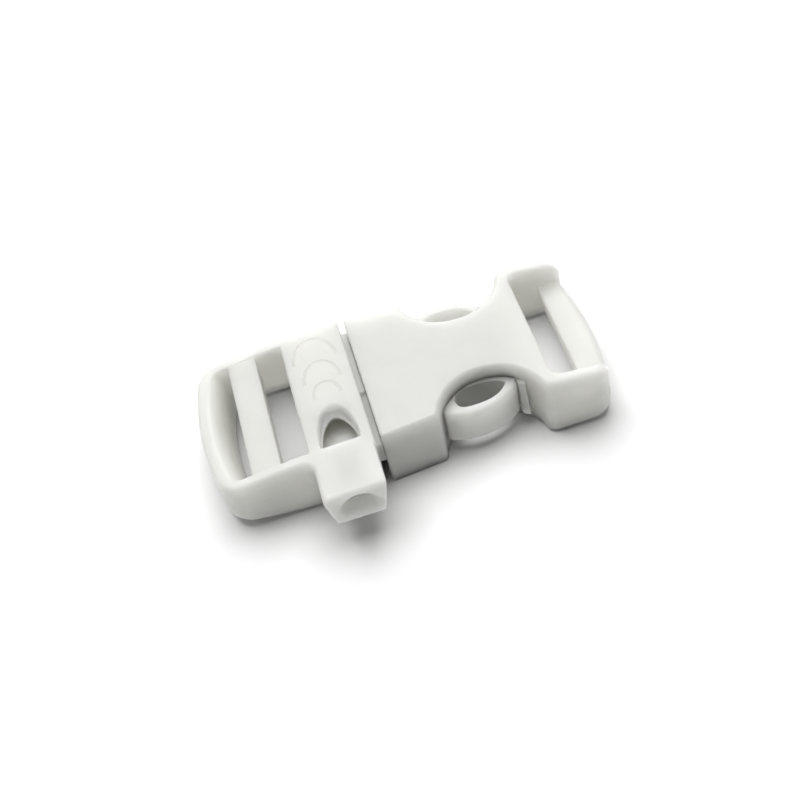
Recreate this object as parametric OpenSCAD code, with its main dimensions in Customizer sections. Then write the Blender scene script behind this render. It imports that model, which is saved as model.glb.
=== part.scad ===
// Side release buckle for narrow webbing, fastened, with a whistle moulded into one half.
// It is two mouldings. The prong half carries the frame with its crossbar, the whistle, the
// two prongs with their push rings and the centre guide. The socket half takes the prongs
// and ends in two arms with a recessed strap bar between them.

/* [Strap] */
// Clear length of every strap slot, across the buckle
slot_l = 20.5; // [19:0.25:22]
// Width of the slot between the end bar and the crossbar
slot_end_w = 3.2; // [2.4:0.1:4.2]
// Width of the slot between the crossbar and the whistle
slot_mid_w = 3.9; // [2.6:0.1:4.4]
// Width of the strap slot in the socket half
slot_socket_w = 4.3; // [3.4:0.1:5]

/* [Section] */
// Height of the buckle at the joint, its thickest place
thick = 9.7; // [9.2:0.1:11]
// Wall between a slot's end and the outer side
side_wall = 2; // [1.7:0.1:2.6]
// Rounding of the long outer edges
edge_r = 1.5; // [1:0.1:1.8]

/* [Frame] */
// Radius of the frame's top and bottom, seen from the side
belly_r = 120; // [105:5:200]
// Width of the bar at the frame's end
end_bar_w = 2.7; // [2.2:0.1:3.4]
// Radius of the frame's end, seen from above
end_bow_r = 42; // [34:1:70]
// Corner radius of the frame's end, seen from above
end_corner_r = 2.8; // [2.2:0.1:3.4]
// Radius of the end bar's outer side, seen from the side
end_nose_r = 3.3; // [3.2:0.1:4.2]
// Width of the crossbar
crossbar_w = 4.1; // [3.2:0.1:5]
// Height of the crossbar at its middle
crossbar_h = 4.4; // [3.4:0.1:5.4]
// How far the crossbar's top lies below the frame's
crossbar_drop = 0.2; // [0.1:0.05:0.5]

/* [Whistle] */
// Width of the whistle, along the buckle
whistle_w = 8.9; // [8.6:0.1:10.5]
// How far the window's middle lies off the whistle's middle, towards the joint
window_off = 0.1; // [0:0.05:0.2]
// Roof over the sound chamber
roof_t = 1; // [0.8:0.05:1.3]
// Width of the sound chamber
chamber_w = 5.4; // [5.3:0.05:5.6]
// Height of the sound chamber
chamber_h = 5.6; // [4.6:0.1:6.2]
// How far the chamber reaches past the buckle's middle line
chamber_back = 8; // [4:0.5:9]
// Distance of the window's flat edge from the middle line
window_edge = 10.3; // [9.8:0.1:10.8]
// Radius of the scoop that opens the window
scoop_r = 2.6; // [2.2:0.05:2.6]
// Slope of the scoop
scoop_angle = 30; // [27:0.5:35]
// Height of the windway
windway_h = 0.9; // [0.6:0.1:1.2]
// Width of the windway
windway_w = 4.8; // [3.6:0.1:5]

/* [Mouthpiece] */
// How far the mouthpiece stands out from the frame's side
mouth_l = 7.1; // [5:0.1:9]
// Height of the mouthpiece
mouth_h = 5.4; // [5:0.1:6]
// Width that each side of the mouthpiece loses towards its underside
mouth_draft = 1; // [0.6:0.1:1.3]
// Rounding of the mouthpiece's upper front edge
mouth_lip = 1.1; // [0.7:0.1:1.3]
// Fillet between the frame's side and the mouthpiece
mouth_fillet_r = 1.8; // [1:0.1:2.2]
// Depth of the hollow in the mouthpiece's end
dish_d = 0.9; // [0.6:0.1:1.2]
// Height of that hollow
dish_h = 2.5; // [2:0.1:2.7]
// Width of that hollow
dish_w = 5.6; // [5.2:0.1:5.8]

/* [Sound wave mark] */
// Depth of the engraved arches
wave_d = 0.15; // [0.1:0.05:0.3]
// Line width of the arches
wave_w = 0.3; // [0.2:0.05:0.5]
// Half width of the largest arch
wave_r = 3.1; // [2.8:0.1:3.3]
// Half width that each next arch loses
wave_step = 0.6; // [0.4:0.05:0.7]
// Distance from one arch to the next
wave_pitch = 4.4; // [4:0.1:4.6]
// Distance of the largest arch's top from the middle line
wave_top = 9.7; // [9:0.1:10]

/* [Joint] */
// Gap that shows between the two halves
joint_gap = 0.9; // [0.6:0.1:1.4]
// Clearance between the prong half and the inside of the socket, on each side
fit_gap = 0.2; // [0.15:0.05:0.3]

/* [Prongs] */
// Thickness of a prong where it leaves the frame
prong_t = 2; // [1.6:0.1:2.3]
// Distance of a prong's outer side from the middle line
prong_y = 8.9; // [8.5:0.05:9]
// Length of the block that joins the prongs at their roots
root_l = 2.8; // [1.5:0.1:4]
// Wall of a push ring at its outer side
ring_wall = 1.6; // [1.3:0.05:1.8]
// Wall of a push ring at its front, towards the frame
ring_front = 1.8; // [1.6:0.05:2.1]
// Wall of a push ring at its rear
ring_rear = 1.4; // [1.2:0.05:1.6]
// Distance of a push ring's outermost point from the middle line
ring_reach = 10.75; // [10.5:0.05:11]
// Radius of a push ring's outer side
ring_bow_r = 9.5; // [9:0.1:11]
// Length of a push ring
ring_l = 10.6; // [10:0.1:10.8]
// Distance of a push ring's inner side from the middle line
ring_inner = 4.3; // [4:0.1:4.6]
// Width of the centre guide
guide_w = 2.6; // [2:0.1:4]
// Length of the centre guide inside the socket
guide_l = 12; // [6:0.5:16]

/* [Socket] */
// Length of the socket half, from its mouth to the middle of its end
socket_l = 33.2; // [32.6:0.1:36]
// Width of the socket's mouth
socket_w = 23.4; // [22.8:0.1:24.5]
// Width that the socket has lost where its side windows start
socket_taper = 1.5; // [0.8:0.1:2]
// Thickness of the top and bottom plates
plate_t = 2; // [1.7:0.1:2.2]
// Depth of the socket's cavity
cavity_l = 20.8; // [20.4:0.1:21.4]
// Radius of the side windows
side_window_r = 7.4; // [7.2:0.1:7.8]
// Distance of the side windows' deepest place from the middle line
side_window_y = 5.4; // [5.1:0.1:5.8]
// Distance of the side windows' middle from the socket's mouth
side_window_x = 15.4; // [15:0.1:15.8]
// Bevel of the side windows' edges
side_window_bevel = 0.5; // [0.3:0.1:0.8]
// Corner radius of the strap slot
slot_corner_r = 1.6; // [1:0.1:1.8]

/* [Strap end of the socket] */
// Distance of the strap slot from the socket's mouth
socket_slot_x = 24.3; // [23.9:0.1:25]
// Depth of the strap bar's top below the top of the arms
bar_drop = 3.9; // [3:0.1:4.4]
// Height of the strap bar
bar_h = 3.4; // [2.8:0.1:4]
// Radius of the socket's end, seen from above
tail_bow_r = 48; // [38:1:80]
// Corner radius of the arms' ends, seen from above
tail_corner_r = 1.8; // [1.2:0.1:2]
// Radius of the arms' ends, seen from the side
tail_nose_r = 4.5; // [4.4:0.1:5.4]
// Radius of the arms' top and bottom, seen from the side
tail_belly_r = 22; // [20:1:34]

/* [Hidden] */
$fn = 96;
// A cutting shape reaches this far past what it cuts
cut = 1;
// A cut or a root reaches this far into its neighbour
bite = 0.3;
// Distance of the push ring's bow centre from the ring's front
ring_bow_x = 4.2;
// Distance from the strap slot to the centre of the arms' falling top
fall_x = 2;
half_t = thick / 2;
half_w = slot_l / 2 + side_wall;
// Places along the buckle, from the middle of the joint
face_x = -joint_gap / 2;
whistle_x = face_x - whistle_w;
crossbar_x2 = whistle_x - slot_mid_w;
crossbar_x1 = crossbar_x2 - crossbar_w;
end_x = crossbar_x1 - slot_end_w - end_bar_w;
socket_x = joint_gap / 2;
tail_x = socket_x + socket_l;
window_x = socket_x + side_window_x;
window_y = side_window_y + side_window_r;
slot_x1 = socket_x + socket_slot_x;
slot_x2 = slot_x1 + slot_socket_w;
// Places across the buckle and in height, from its middle
mouth_y = -half_w - mouth_l;
belly_z = half_t - belly_r;
whistle_mid = (whistle_x + face_x) / 2 + window_off;
ceiling_z = belly_z + sqrt(pow(belly_r, 2) - pow(whistle_mid, 2)) - roof_t;
crossbar_mid = (crossbar_x1 + crossbar_x2) / 2;
crossbar_top = belly_z + sqrt(pow(belly_r, 2) - pow(crossbar_mid, 2)) - crossbar_drop;
mouth_z = half_t - mouth_h;
cavity_z = half_t - plate_t;
cavity_y = prong_y + fit_gap;
prong_z = cavity_z - fit_gap;
// The push rings start where the side windows leave room for them
window_start = window_x - sqrt(pow(side_window_r, 2) - pow(window_y - cavity_y, 2));
ring_x1 = window_start + fit_gap;
ring_x2 = ring_x1 + ring_l;
ring_cx = ring_x1 + ring_bow_x;
ring_cy = ring_reach - ring_bow_r;
taper_angle = atan(socket_taper / 2 / (side_window_x - side_window_r));
// The arms' top starts to fall level with the strap slot's inner side
tail_belly_x = slot_x1 - fall_x;
tail_belly_z = half_t - sqrt(pow(tail_belly_r, 2) - pow(fall_x, 2));
// Round corners stand out from the straight and bowed sides by this much before the trim
corner_over = 0.05;
wave_count = 3;
wave_leg = 0.9;
// Shift that puts the middle of the box's underside at the origin
origin = [-(end_x + tail_x) / 2, -(mouth_y + half_w) / 2, half_t];

// Bar along X, from a section drawn in Y and Z
module along_x(x1, x2) {
  translate([x1, 0, 0])
    rotate([90, 0, 90])
      linear_extrude(x2 - x1)
        children();
}

// Bar along Y, from a section drawn in X and Z
module along_y(y1, y2) {
  translate([0, y2, 0])
    rotate([90, 0, 0])
      linear_extrude(y2 - y1)
        children();
}

// Box between two corners
module block(low, high) {
  translate(low) cube(high - low);
}

// The same piece on both sides of the middle line
module both_sides() {
  children();
  mirror([0, 1, 0]) children();
}

// Rectangle with round corners, centred
module round_rect(w, h, r) {
  square([w, h - 2 * r], center = true);
  square([w - 2 * r, h], center = true);
  for (sx = [-1, 1], sy = [-1, 1]) {
    translate([sx * (w / 2 - r), sy * (h / 2 - r)]) circle(r);
  }
}

// Plan of one half with round corners at its end. Its straight sides and its end stand
// wide of the half, whose sides and bowed end trim them. It lies at x > 0, the end's apex
// is at x = 0 and it is open at x = len.
module end_plan(bow, corner, half, len) {
  yc = half + corner_over - corner;
  xc = bow - corner_over - sqrt(pow(bow - corner, 2) - pow(yc, 2));
  reach = (bow + cut) / norm([bow - xc, yc]);
  both_sides() {
    translate([xc, yc]) circle(corner);
    translate([xc, 0]) square([len - xc, half + cut]);
    polygon([[xc, 0], [xc, yc], [bow + (xc - bow) * reach, yc * reach], [-cut, 0]]);
  }
}

// Solid of revolution that gives an end its bow, with a round nose seen from the side
module end_revolve(bow, nose) {
  rotate_extrude($fn = 720) {
    translate([0, -thick]) square([bow - nose, 2 * thick]);
    translate([bow - nose, 0]) circle(nose);
  }
}

// Solid under the arched top, with its long edges rounded along the arch
module belly_top(half, r) {
  translate([0, 0, belly_z])
    rotate([90, 0, 0])
      rotate_extrude($fn = 720) {
        translate([belly_r - 2 * thick, -half]) square([2 * thick - r, 2 * half]);
        translate([belly_r - 2 * thick, r - half]) square([2 * thick, 2 * (half - r)]);
        for (s = [-1, 1]) {
          translate([belly_r - r, s * (half - r)]) circle(r);
        }
      }
}

// Everything under the arched top, without the rounded edges
module under_belly(drop) {
  translate([0, half_w + cut, belly_z])
    rotate([90, 0, 0])
      cylinder(r = belly_r - drop, h = half_w - mouth_y + 2 * cut, $fn = 720);
}

// Frame and whistle body before anything is cut from them
module frame_block() {
  intersection() {
    belly_top(half_w, edge_r);
    mirror([0, 0, 1]) belly_top(half_w, edge_r);
    translate([end_x, 0, -thick])
      linear_extrude(2 * thick)
        end_plan(end_bow_r, end_corner_r, half_w, face_x - end_x);
    translate([end_x + end_bow_r, 0, 0]) end_revolve(end_bow_r, end_nose_r);
  }
}

// The two strap slots of the frame, with the crossbar left standing between them
module frame_slots() {
  half = slot_l / 2;
  difference() {
    block([end_x, -half, -thick], [whistle_x, half, thick]);
    translate([end_x + end_bow_r, 0, -thick - cut])
      difference() {
        cylinder(r = end_bow_r + cut, h = 2 * (thick + cut), $fn = 720);
        cylinder(r = end_bow_r - end_bar_w, h = 2 * (thick + cut), $fn = 720);
      }
    intersection() {
      block([crossbar_x1, -half - cut, crossbar_top - crossbar_h], [crossbar_x2, half + cut, thick]);
      under_belly(crossbar_drop);
    }
  }
}

// Mouthpiece before the windway is cut, with its root inside the frame
module mouthpiece() {
  x1 = whistle_x;
  x2 = face_x - 0.1;
  z1 = mouth_z;
  intersection() {
    along_y(mouth_y, -half_w + edge_r + bite)
      polygon([[x1, half_t], [x2, half_t], [x2 - mouth_draft, z1], [x1 + mouth_draft, z1]]);
    along_x(x1 - cut, x2 + cut)
      polygon([
        [mouth_y, z1],
        [mouth_y, half_t - mouth_lip],
        [mouth_y + mouth_lip * 0.3, half_t - mouth_lip * 0.3],
        [mouth_y + mouth_lip * 1.3, half_t + mouth_lip * 0.15],
        [0, half_t + mouth_lip],
        [0, z1],
      ]);
    under_belly(0);
  }
}

// Fillet between the frame's side and the mouthpiece, seen from above
module mouth_fillet() {
  r = mouth_fillet_r;
  intersection() {
    translate([whistle_x, -half_w, mouth_z])
      linear_extrude(mouth_h + cut)
        difference() {
          translate([-r, -r]) square([r + mouth_draft / 2, r + edge_r]);
          translate([-r, -r]) circle(r);
        }
    under_belly(0);
  }
}

// Hollow of the whistle: mouth, windway, chamber and the scooped window over it
module whistle_hollow() {
  half = chamber_w / 2;
  windway_z = ceiling_z - windway_h;
  floor_z = ceiling_z - chamber_h;
  translate([whistle_mid, 0, 0]) {
    block([-half, -window_edge, floor_z], [half, chamber_back, ceiling_z]);
    block([-windway_w / 2, mouth_y - cut, windway_z], [windway_w / 2, cut - window_edge, ceiling_z]);
    along_y(mouth_y - cut, mouth_y + dish_d)
      translate([0, ceiling_z - dish_h / 2])
        round_rect(dish_w, dish_h, 0.9);
    intersection() {
      translate([0, -window_edge, ceiling_z])
        rotate([scoop_angle - 90, 0, 0])
          translate([0, 0, -thick]) cylinder(r = scoop_r, h = 3 * thick);
      block([-half, -window_edge, ceiling_z - bite], [half, 0, half_t + cut]);
    }
  }
}

// Three arches engraved over the whistle, open towards the window
module sound_waves() {
  difference() {
    for (i = [0 : wave_count - 1]) {
      r = wave_r - i * wave_step;
      y = wave_top - i * wave_pitch - r;
      translate([whistle_mid, y, ceiling_z])
        linear_extrude(thick)
          difference() {
            union() {
              circle(r + wave_w / 2);
              translate([-r - wave_w / 2, -wave_leg]) square([2 * r + wave_w, wave_leg]);
            }
            circle(r - wave_w / 2);
            translate([wave_w / 2 - r, -r - cut]) square([2 * r - wave_w, r + cut]);
            translate([-r - cut, -r - cut]) square([2 * r + 2 * cut, r + cut - wave_leg]);
          }
    }
    under_belly(wave_d);
  }
}

// One prong with its push ring, on the +Y side
module prong() {
  translate([0, 0, -prong_z])
    linear_extrude(2 * prong_z) {
      translate([face_x - cut, prong_y - prong_t])
        square([ring_x1 + ring_wall - face_x, prong_t]);
      difference() {
        intersection() {
          translate([ring_cx, ring_cy]) circle(ring_bow_r, $fn = 240);
          translate([ring_x1, ring_inner]) square([ring_l, ring_reach]);
        }
        intersection() {
          translate([ring_cx, ring_cy]) circle(ring_bow_r - ring_wall, $fn = 240);
          translate([ring_x1 + ring_front, ring_inner + ring_wall - bite])
            square([ring_l - ring_front - ring_rear, ring_reach]);
        }
      }
    }
}

// Prong half: one moulding
module male_half() {
  color("whitesmoke")
    translate(origin) {
      difference() {
        union() {
          frame_block();
          mouthpiece();
          mouth_fillet();
        }
        frame_slots();
        whistle_hollow();
        sound_waves();
      }
      block([face_x - cut, -prong_y, -prong_z], [face_x + root_l, prong_y, prong_z]);
      block([face_x - cut, -guide_w / 2, -prong_z], [socket_x + guide_l, guide_w / 2, prong_z]);
      both_sides() prong();
    }
}

// Section of a straight bar along X whose +Y side lies at y = 0, with round edges there
module side_section(depth) {
  translate([-depth, -half_t]) square([depth - edge_r, thick]);
  translate([-depth, edge_r - half_t]) square([depth, thick - 2 * edge_r]);
  for (s = [-1, 1]) {
    translate([-edge_r, s * (half_t - edge_r)]) circle(edge_r);
  }
}

// Tapered front of the socket, from its mouth to the middle of the side windows
module socket_front() {
  intersection() {
    front_side(1);
    front_side(-1);
    block([socket_x, -half_w, -thick], [window_x + cut, half_w, thick]);
  }
}

// Half space on one side of the tapered front, with that side's round edges
module front_side(s) {
  mirror([0, (1 - s) / 2, 0])
    translate([socket_x, socket_w / 2, 0])
      rotate([0, 0, -taper_angle])
        along_x(-3 * cut, window_x + 4 * cut)
          side_section(2 * socket_w);
}

// Rear of the socket, with the arms' bowed and rounded ends
module socket_rear() {
  intersection() {
    union() {
      along_x(window_x, tail_x + cut) translate([half_w, 0]) side_section(half_w);
      along_x(window_x, tail_x + cut)
        mirror([1, 0]) translate([half_w, 0]) side_section(half_w);
    }
    along_y(-half_w - cut, half_w + cut) arm_profile();
    translate([tail_x, 0, -thick])
      linear_extrude(2 * thick)
        mirror([1, 0, 0]) end_plan(tail_bow_r, tail_corner_r, half_w, tail_x - window_x + cut);
    translate([tail_x - tail_bow_r, 0, 0]) end_revolve(tail_bow_r, tail_nose_r);
  }
}

// Side view of the socket's rear: flat, then falling towards the end above and below
module arm_profile() {
  x1 = slot_x1 - fall_x / 2;
  translate([window_x - cut, -thick]) square([x1 - window_x + cut, 2 * thick]);
  intersection() {
    translate([x1, -thick]) square([tail_x - x1 + cut, 2 * thick]);
    translate([tail_belly_x, tail_belly_z]) circle(tail_belly_r, $fn = 360);
    translate([tail_belly_x, -tail_belly_z]) circle(tail_belly_r, $fn = 360);
  }
}

// Side window with bevelled edges, around its own axis
module side_window() {
  e = side_window_bevel;
  translate([window_x, window_y, 0])
    rotate_extrude($fn = 240)
      polygon([
        [0, -thick], [side_window_r + e + thick - half_t, -thick],
        [side_window_r, e - half_t], [side_window_r, half_t - e],
        [side_window_r + e + thick - half_t, thick], [0, thick],
      ]);
}

// Opening between the arms, with round corners where the strap slot meets the socket
module arm_opening() {
  half = slot_l / 2;
  r = slot_corner_r;
  translate([slot_x1, 0, -thick])
    linear_extrude(2 * thick) {
      translate([r, -half]) square([tail_x - slot_x1, 2 * half]);
      translate([0, r - half]) square([2 * r, 2 * (half - r)]);
      for (s = [-1, 1]) {
        translate([r, s * (half - r)]) circle(r);
      }
    }
}

// Strap bar, sunk between the arms and flush with their ends
module strap_bar() {
  top_z = half_t - bar_drop;
  half = half_w - side_wall / 2;
  intersection() {
    block([slot_x2, -half, top_z - bar_h], [tail_x + cut, half, top_z]);
    translate([tail_x - tail_bow_r, 0, 0]) end_revolve(tail_bow_r, tail_nose_r);
  }
}

// Socket half: one moulding
module female_half() {
  color("white")
    translate(origin) {
      difference() {
        union() {
          socket_front();
          socket_rear();
        }
        block([socket_x - cut, -cavity_y, -cavity_z], [socket_x + cavity_l, cavity_y, cavity_z]);
        both_sides() side_window();
        arm_opening();
      }
      strap_bar();
    }
}

male_half();
female_half();
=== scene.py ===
# %% [markdown]
# # A side release buckle with a whistle
#
# The buckle is two white mouldings that click together. The solids of the construction are the
# frame that everything here is built around: they say how long, wide and high each half is and
# where it lies. This script makes the two mouldings again with the soft edges, draft and
# engraving that a mould gives them, and then lights and films them as in the photograph.

# %% Load the frame
import math

import bmesh
import bpy
from mathutils import Matrix, Vector


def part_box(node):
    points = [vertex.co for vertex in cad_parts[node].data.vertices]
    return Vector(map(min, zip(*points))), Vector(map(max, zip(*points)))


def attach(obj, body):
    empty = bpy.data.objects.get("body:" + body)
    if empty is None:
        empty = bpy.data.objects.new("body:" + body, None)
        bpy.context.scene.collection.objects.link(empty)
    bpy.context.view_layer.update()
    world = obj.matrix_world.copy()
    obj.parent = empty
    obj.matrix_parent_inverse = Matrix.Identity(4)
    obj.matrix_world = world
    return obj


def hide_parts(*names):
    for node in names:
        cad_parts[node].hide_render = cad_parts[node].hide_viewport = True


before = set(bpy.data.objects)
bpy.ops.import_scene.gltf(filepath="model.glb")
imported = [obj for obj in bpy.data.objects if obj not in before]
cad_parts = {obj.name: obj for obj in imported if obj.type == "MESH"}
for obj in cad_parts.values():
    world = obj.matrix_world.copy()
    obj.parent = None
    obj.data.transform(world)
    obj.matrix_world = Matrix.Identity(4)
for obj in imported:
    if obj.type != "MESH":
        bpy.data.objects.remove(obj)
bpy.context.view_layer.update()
MM = 0.001

# %% [markdown]
# ## One set of axes for both halves
#
# Both mouldings are drawn in millimetres around the middle of the joint between them: x runs
# along the buckle, y across it, and z is zero half way up. The boxes of the two nodes give the
# main sizes, so the drawing follows the construction if that changes.

# %% Main sizes, in millimetres
JOINT_GAP = 0.9
TAIL_REACH = 33.65
SIDE_REACH = 12.25
male_low, male_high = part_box("male_half")
female_low, female_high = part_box("female_half")
joint = Vector((
    female_high.x - TAIL_REACH * MM,
    male_high.y - SIDE_REACH * MM,
    (female_low.z + female_high.z) / 2,
))
half_t = (female_high.z - female_low.z) / 2 / MM
half_w = (male_high.y - joint.y) / MM
end_x = (male_low.x - joint.x) / MM
tail_x = (female_high.x - joint.x) / MM
mouth_y = (male_low.y - joint.y) / MM
face_x = -JOINT_GAP / 2
socket_x = JOINT_GAP / 2
print("half thickness %.2f, half width %.2f, from %.2f to %.2f, mouth at %.2f"
      % (half_t, half_w, end_x, tail_x, mouth_y))

# %% [markdown]
# ## Outlines
#
# Seen from above, each half is a closed outline of straight and bowed sides with round corners.
# An outline is drawn side by side, and every corner is set back by as much as it is rounded.
# The curve between two sides is a cubic one, pulled a little over half way to the sharp corner,
# and that is very near to an arc.

# %% Sides of an outline
CORNER_PULL = 0.55


def straight(start, end, count, soft):
    """A straight side with its number of points, and the setback of the corner at its end"""
    def run(t):
        return start[0] + (end[0] - start[0]) * t, start[1] + (end[1] - start[1]) * t
    return run, math.dist(start, end), count, soft


def bowed(centre, r, start, end, count, soft):
    """A side on an arc, from one angle to another in degrees"""
    def run(t):
        turn = math.radians(start + (end - start) * t)
        return centre[0] + r * math.cos(turn), centre[1] + r * math.sin(turn)
    return run, abs(math.radians(end - start)) * r, count, soft


def outline(sides, steps=6):
    """Points round closed sides; a corner is a smooth curve from one side to the next"""
    points = []
    for i, (run, length, count, soft) in enumerate(sides):
        before = sides[i - 1][3] / length
        after = soft / length
        first = 0 if before else 1
        points += [run(before + (1 - before - after) * k / (count - 1))
                   for k in range(first, count)]
        following, reach = sides[(i + 1) % len(sides)][:2]
        if not soft:
            continue
        a, c, d = points[-1], run(1), following(soft / reach)
        for k in range(1, steps):
            t = k / steps
            w = ((1 - t) ** 3, 3 * (1 - t) ** 2 * t, 3 * (1 - t) * t * t, t ** 3)
            p = [w[0] * a[j] + w[1] * (a[j] + (c[j] - a[j]) * CORNER_PULL)
                 + w[2] * (d[j] + (c[j] - d[j]) * CORNER_PULL) + w[3] * d[j] for j in (0, 1)]
            points.append(tuple(p))
    return points


def half_turn(y, r):
    """Angle between the middle of a bow of radius r and the place where it reaches y"""
    return math.degrees(math.asin(y / r))


# %% [markdown]
# ## Lofts
#
# A moulding has no sharp edge, but its edges aren't all alike: the long outer ones are rounded
# by about a millimetre at the top, those of the slots by a quarter of one, and those of the
# underside by a tenth. A bevel has trouble where such different edges meet. So each body is
# lofted instead. Its outline is drawn again at each of some thirty heights, and near the top and
# bottom every side draws in by its own rounding. The outlines are extruded one from the other.
# A tool that cuts a slot is made in the same way, but it flares out towards its ends, and that
# leaves a round edge on what it cuts.

# %% How far a rounded edge has moved at a height
def quarter(share, reach):
    """Height of a quarter round of that reach, from 0 at its foot to reach at its top"""
    share = min(max(share, 0), 1)
    return reach * (1 - math.sqrt(1 - share * share))


def rounding(z, low, high, across, rise=None, below=None):
    """Step of a side: its top edge is rounded by across over rise, its bottom edge by below"""
    rise = rise or across
    below = across if below is None else below
    return (quarter((z - high + rise) / rise, across)
            + (quarter((low + below - z) / below, below) if below else 0))


def heights(low, high, rises, below, steps=5):
    """Heights at which top edges of those rises and bottom edges of that radius look round"""
    found = {round((low + high) / 2, 4)}
    for i in range(steps + 1):
        up = math.sin(math.radians(90 * i / steps))
        found.update(round(high - r + r * up, 4) for r in rises)
        found.update(round(low + r - r * up, 4) for r in below)
    return sorted(found)


# %% A closed solid through a list of loops
WELD = 1e-4
SLIVER = 1e-5
OVER = 1.0


def loft(loops):
    """Extrudes the first loop from place to place; every loop has the same number of points"""
    bm = bmesh.new()
    spot = bm.verts.layers.int.new("spot")
    verts = [bm.verts.new(co) for co in loops[0]]
    for i, vert in enumerate(verts):
        vert[spot] = i
    bm.faces.new(verts)
    rim = list(bm.edges)
    for loop in loops[1:]:
        made = bmesh.ops.extrude_edge_only(bm, edges=rim)["geom"]
        fresh = {g for g in made if isinstance(g, bmesh.types.BMVert)}
        for vert in fresh:
            vert.co = loop[vert[spot]]
        rim = [g for g in made if isinstance(g, bmesh.types.BMEdge)
               and g.verts[0] in fresh and g.verts[1] in fresh]
    bmesh.ops.edgeloop_fill(bm, edges=rim)
    bmesh.ops.remove_doubles(bm, verts=bm.verts, dist=WELD)
    bmesh.ops.dissolve_degenerate(bm, edges=bm.edges, dist=SLIVER)
    bmesh.ops.recalc_face_normals(bm, faces=bm.faces)
    return bm


def lift(points, z):
    """Outline points at one height"""
    return [(x, y, z) for x, y in points]


def through(levels, half):
    """The heights of a cutter, which stands out of the body above and below"""
    return [-half - OVER] + levels + [half + OVER]


def solid(name, bm):
    """An object from a bmesh, which is used up"""
    mesh = bpy.data.meshes.new(name)
    bm.to_mesh(mesh)
    bm.free()
    piece = bpy.data.objects.new(name, mesh)
    bpy.context.scene.collection.objects.link(piece)
    return piece


# %% Join or cut two solids
def combine(body, tool, operation):
    """Exact union or difference of two solids; the tool is used up"""
    step = body.modifiers.new(operation, "BOOLEAN")
    step.operation = operation
    step.solver = "EXACT"
    step.object = tool
    shape = body.evaluated_get(bpy.context.evaluated_depsgraph_get())
    mesh = bpy.data.meshes.new_from_object(shape)
    body.modifiers.clear()
    body.data = mesh
    edges = {key: 0 for key in mesh.edge_keys}
    for face in mesh.polygons:
        for key in face.edge_keys:
            edges[key] += 1
    open_edges = sum(1 for n in edges.values() if n != 2)
    print("  %s %s %s: %d faces, %d open edges"
          % (body.name, operation.lower(), tool.name, len(mesh.polygons), open_edges))
    bpy.data.objects.remove(tool)


def block(name, low, high, soft):
    """A straight tool or bar between two corners, with all its edges rounded by soft"""
    loops = []
    for z in heights(low[2], high[2], [soft], [soft], 3):
        o = rounding(z, low[2], high[2], soft)
        a, b, c, d = low[0] + o, low[1] + o, high[0] - o, high[1] - o
        loops.append(lift(outline([
            straight((a, b), (c, b), 2, soft), straight((c, b), (c, d), 2, soft),
            straight((c, d), (a, d), 2, soft), straight((a, d), (a, b), 2, soft),
        ], 4), z))
    return solid(name, loft(loops))

# %% [markdown]
# ## The body of the prong half
#
# It is a frame with a bowed end, and the whistle's mouthpiece stands out of its near side. It is
# drawn flat first, with its top and bottom parallel, because that keeps every cut simple. The
# arch of its top comes last, when all of it is squeezed in height. A fine ridge runs round it at
# half height, where the two halves of its mould met. Under the mouthpiece the outline steps back
# to the frame's side, and a concave corner joins the two. Two loops four thousandths of a
# millimetre apart make the mouthpiece's flat underside.

# %% Sizes of the frame and the mouthpiece
EDGE_R = 1.1
EDGE_RISE = 2.1
BOTTOM_R = 0.12
END_BOW_R = 42.0
END_CORNER = 2.7
END_NOSE = 0.5
END_NOSE_RISE = 1.2
WHISTLE_X = -9.35
MOUTH_BOTTOM = -0.45
MOUTH_STEP = 0.004
MOUTH_DRAFT = 1.0
MOUTH_INNER_DRAFT = 0.9
MOUTH_INSET = 0.15
MOUTH_FILLET = 1.9
MOUTH_EDGE_R = 0.7
MOUTH_CORNER = 0.5
FACE_CORNER = 0.45
FACE_INSET = 0.2
LIP = 1.0
LIP_RISE = 1.3
SMALL_R = 0.25
SEAM = 0.02
SEAM_RISE = 0.06
end_bow_x = end_x + END_BOW_R


def seam(z):
    """The moulding's ridge at half height"""
    return SEAM if abs(z) < SEAM_RISE / 2 else 0


# %% Outline of the prong half at one height
def male_outline(z):
    side = half_w - rounding(z, -half_t, half_t, EDGE_R, EDGE_RISE, BOTTOM_R) + seam(z)
    bow = END_BOW_R - rounding(z, -half_t, half_t, END_NOSE, END_NOSE_RISE, BOTTOM_R) + seam(z)
    face = face_x - rounding(z, -half_t, half_t, SMALL_R)
    turn = half_turn(side, bow)
    corner_x = end_bow_x - bow * math.cos(math.radians(turn))
    above = max(z, MOUTH_BOTTOM)
    draft = MOUTH_DRAFT * (half_t - above) / (half_t - MOUTH_BOTTOM)
    left = WHISTLE_X + draft + rounding(above, MOUTH_BOTTOM, half_t, MOUTH_EDGE_R, below=0)
    right = face_x - MOUTH_INSET - draft * MOUTH_INNER_DRAFT
    right -= rounding(above, MOUTH_BOTTOM, half_t, SMALL_R)
    front = mouth_y + rounding(above, MOUTH_BOTTOM, half_t, LIP, LIP_RISE, SMALL_R)
    points = outline([
        straight((face, side), (corner_x, side), 9, END_CORNER),
        bowed((end_bow_x, 0), bow, 180 - turn, 180 + turn, 41, END_CORNER),
        straight((corner_x, -side), (left, -side), 7, MOUTH_FILLET),
        straight((left, -side), (left, front), 9, MOUTH_CORNER),
        straight((left, front), (right, front), 9, FACE_CORNER),
        straight((right, front), (right, -half_w), 8, 0),
        straight((right, -half_w), (face, -half_w + FACE_INSET), 2, 0),
        straight((face, -half_w + FACE_INSET), (face, side), 12, FACE_CORNER),
    ], 9)
    if z < MOUTH_BOTTOM:
        points = [(x, max(y, -side)) for x, y in points]
    return points


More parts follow.
